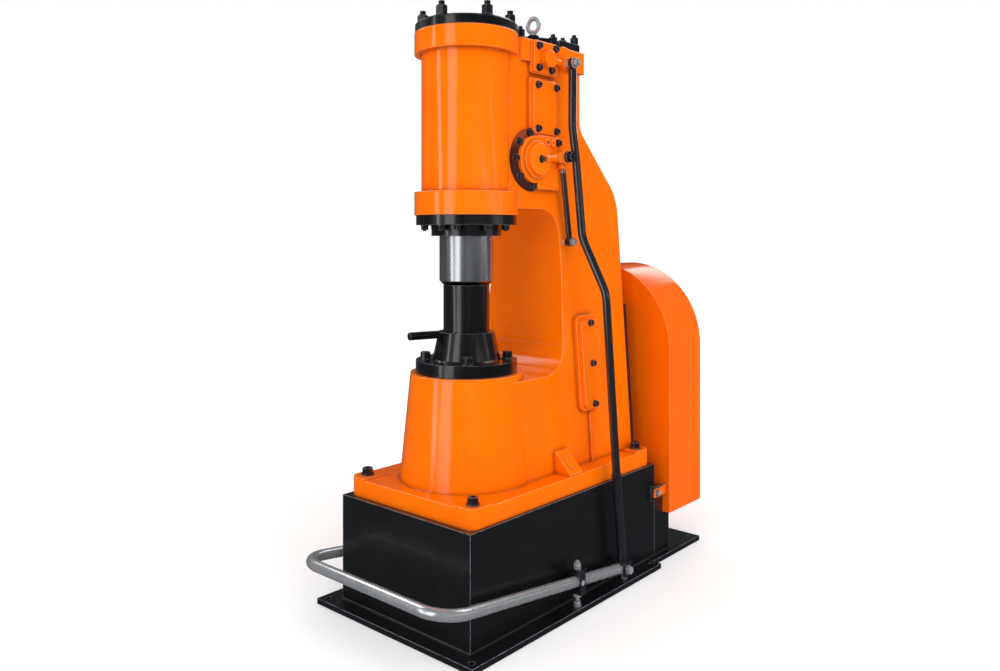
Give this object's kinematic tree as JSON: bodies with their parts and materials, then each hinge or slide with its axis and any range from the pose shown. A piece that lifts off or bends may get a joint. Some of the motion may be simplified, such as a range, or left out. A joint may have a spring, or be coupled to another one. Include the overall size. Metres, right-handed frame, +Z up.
{
  "type": "power hammer",
  "caption": "Self-contained air forging hammer: C-shaped column with ram and compressor cylinders, bolted anvil holder, foot treadle linked to rotary valves and a rear belt drive under a guard.",
  "frame": {"origin": "on the floor, under the axis of the ram", "axes": "+Z up along the ram, -Y towards the operator, +X towards the side that carries the treadle link"},
  "size_m": [0.6545, 1.331, 1.7845],
  "materials": {
    "base_black": "satin black paint",
    "body_orange": "gloss orange paint",
    "guard_orange": "satin orange paint",
    "black_iron": "blackened machined iron",
    "bright_steel": "ground steel",
    "black_oxide": "black oxide",
    "zinc": "zinc plated",
    "dark_primer": "dark primer",
    "bronze": "turned bronze",
    "raw_iron": "machined cast iron",
    "rubber_black": "matt",
    "motor_grey": "satin grey paint"
  },
  "bodies": {
    "frame": {"front_plate": "base_black", "rear_plate": "base_black", "base_box": "base_black", "rear_box": "base_black", "body_casting": "body_orange", "ram_cylinder": "body_orange", "base_bolts": "black_oxide", "anvil_holder": "black_iron", "anvil_bolts": "black_oxide", "tool_post": "black_iron", "gland": "black_iron", "gland_bush": "bronze", "seals": "rubber_black", "gland_bolts": "black_oxide", "ram_cover": "black_iron", "cover_studs": "black_oxide", "compressor_cover": "black_iron", "compressor_nuts": "black_oxide", "eye_bolt": "zinc", "eye_collar": "black_oxide", "valve_chest_cover": "body_orange", "top_valve_cover": "body_orange", "low_valve_ring": "dark_primer", "low_valve_cover": "body_orange", "side_screws": "black_oxide", "fulcrum_blocks": "black_oxide", "fulcrum_pins": "zinc", "strut_pin": "zinc", "strut_tube": "black_oxide", "inspection_cover": "body_orange", "inspection_screws": "black_oxide", "bearing_carrier": "black_iron", "crank_bearings": "bright_steel", "belts": "rubber_black", "motor": "motor_grey", "motor_bed": "base_black", "guard": "guard_orange", "guard_brackets": "base_black", "guard_screws": "zinc"},
    "ram_body": {"ram": "bright_steel", "ram_rings": "raw_iron"},
    "treadle": {"treadle_bar": "bright_steel"},
    "link": {"link_rod": "black_oxide", "link_fork": "black_oxide", "link_pin": "zinc"},
    "low_valve": {"low_spool": "raw_iron", "low_lever": "body_orange", "lever_bolt": "black_oxide"},
    "top_valve": {"top_spool": "raw_iron", "top_lever": "body_orange", "top_stud": "zinc"},
    "strut": {"strut_rod": "zinc"},
    "crank": {"crankshaft": "raw_iron", "flywheel": "raw_iron"},
    "connecting_rod": {"con_rod": "raw_iron", "wrist_pin": "bright_steel"},
    "air_piston": {"compressor_piston": "raw_iron", "compressor_rings": "raw_iron"},
    "motor_rotor": {"motor_pulley": "raw_iron"},
    "lock": {"lock_bar": "black_oxide"}
  },
  "joints": [
    {"name": "ram_slide", "type": "slide", "parent": "frame", "child": "ram_body", "axis": [0, 0, 1], "range_m": [0, 0.13]},
    {"name": "treadle_tilt", "type": "hinge", "parent": "frame", "child": "treadle", "pos_m": [0, 0.158, 0.088], "axis": [1, 0, 0], "range_deg": [0, 5], "stiffness_Nm_per_rad": 200, "springref_deg": -11.46},
    {"name": "link_swing", "type": "hinge", "parent": "treadle", "child": "link", "pos_m": [0.298, 0.395, 0.05701], "axis": [1, 0, 0], "range_deg": [-5.5, 0.5]},
    {"name": "low_valve_turn", "type": "hinge", "parent": "frame", "child": "low_valve", "pos_m": [0, 0.15, 1.333], "axis": [1, 0, 0], "range_deg": [-0.5, 11.5]},
    {"name": "top_valve_turn", "type": "hinge", "parent": "frame", "child": "top_valve", "pos_m": [0, 0.2, 1.645], "axis": [1, 0, 0], "range_deg": [-0.5, 15.5]},
    {"name": "strut_slide", "type": "slide", "parent": "frame", "child": "strut", "axis": [0, -0.155, 0.9879], "range_m": [-0.001, 0.019]},
    {"name": "crank_spin", "type": "hinge", "parent": "frame", "child": "crank", "pos_m": [0, 0.4, 0.711], "axis": [0, 1, 0], "continuous": true},
    {"name": "rod_swing", "type": "hinge", "parent": "crank", "child": "connecting_rod", "pos_m": [0, 0.312, 0.673], "axis": [0, 1, 0], "continuous": true},
    {"name": "piston_slide", "type": "slide", "parent": "frame", "child": "air_piston", "axis": [0, 0, 1], "range_m": [0, 0.09]},
    {"name": "motor_spin", "type": "hinge", "parent": "frame", "child": "motor_rotor", "pos_m": [0, 0.7, 0.235], "axis": [0, 1, 0], "continuous": true},
    {"name": "lock_bar_slide", "type": "slide", "parent": "frame", "child": "lock", "axis": [-0.2907, -0.9568, 0], "range_m": [0, 0.09]}
  ],
  "couplings": [
    {"joint": "link_swing", "follows": "treadle_tilt", "ratio": -1},
    {"joint": "low_valve_turn", "follows": "treadle_tilt", "ratio": 2.1},
    {"joint": "top_valve_turn", "follows": "treadle_tilt", "ratio": 2.9},
    {"joint": "strut_slide", "follows": "treadle_tilt", "m_per_rad": 0.2},
    {"joint": "rod_swing", "follows": "crank_spin", "ratio": -1},
    {"joint": "motor_spin", "follows": "crank_spin", "ratio": 4.7113}
  ]
}
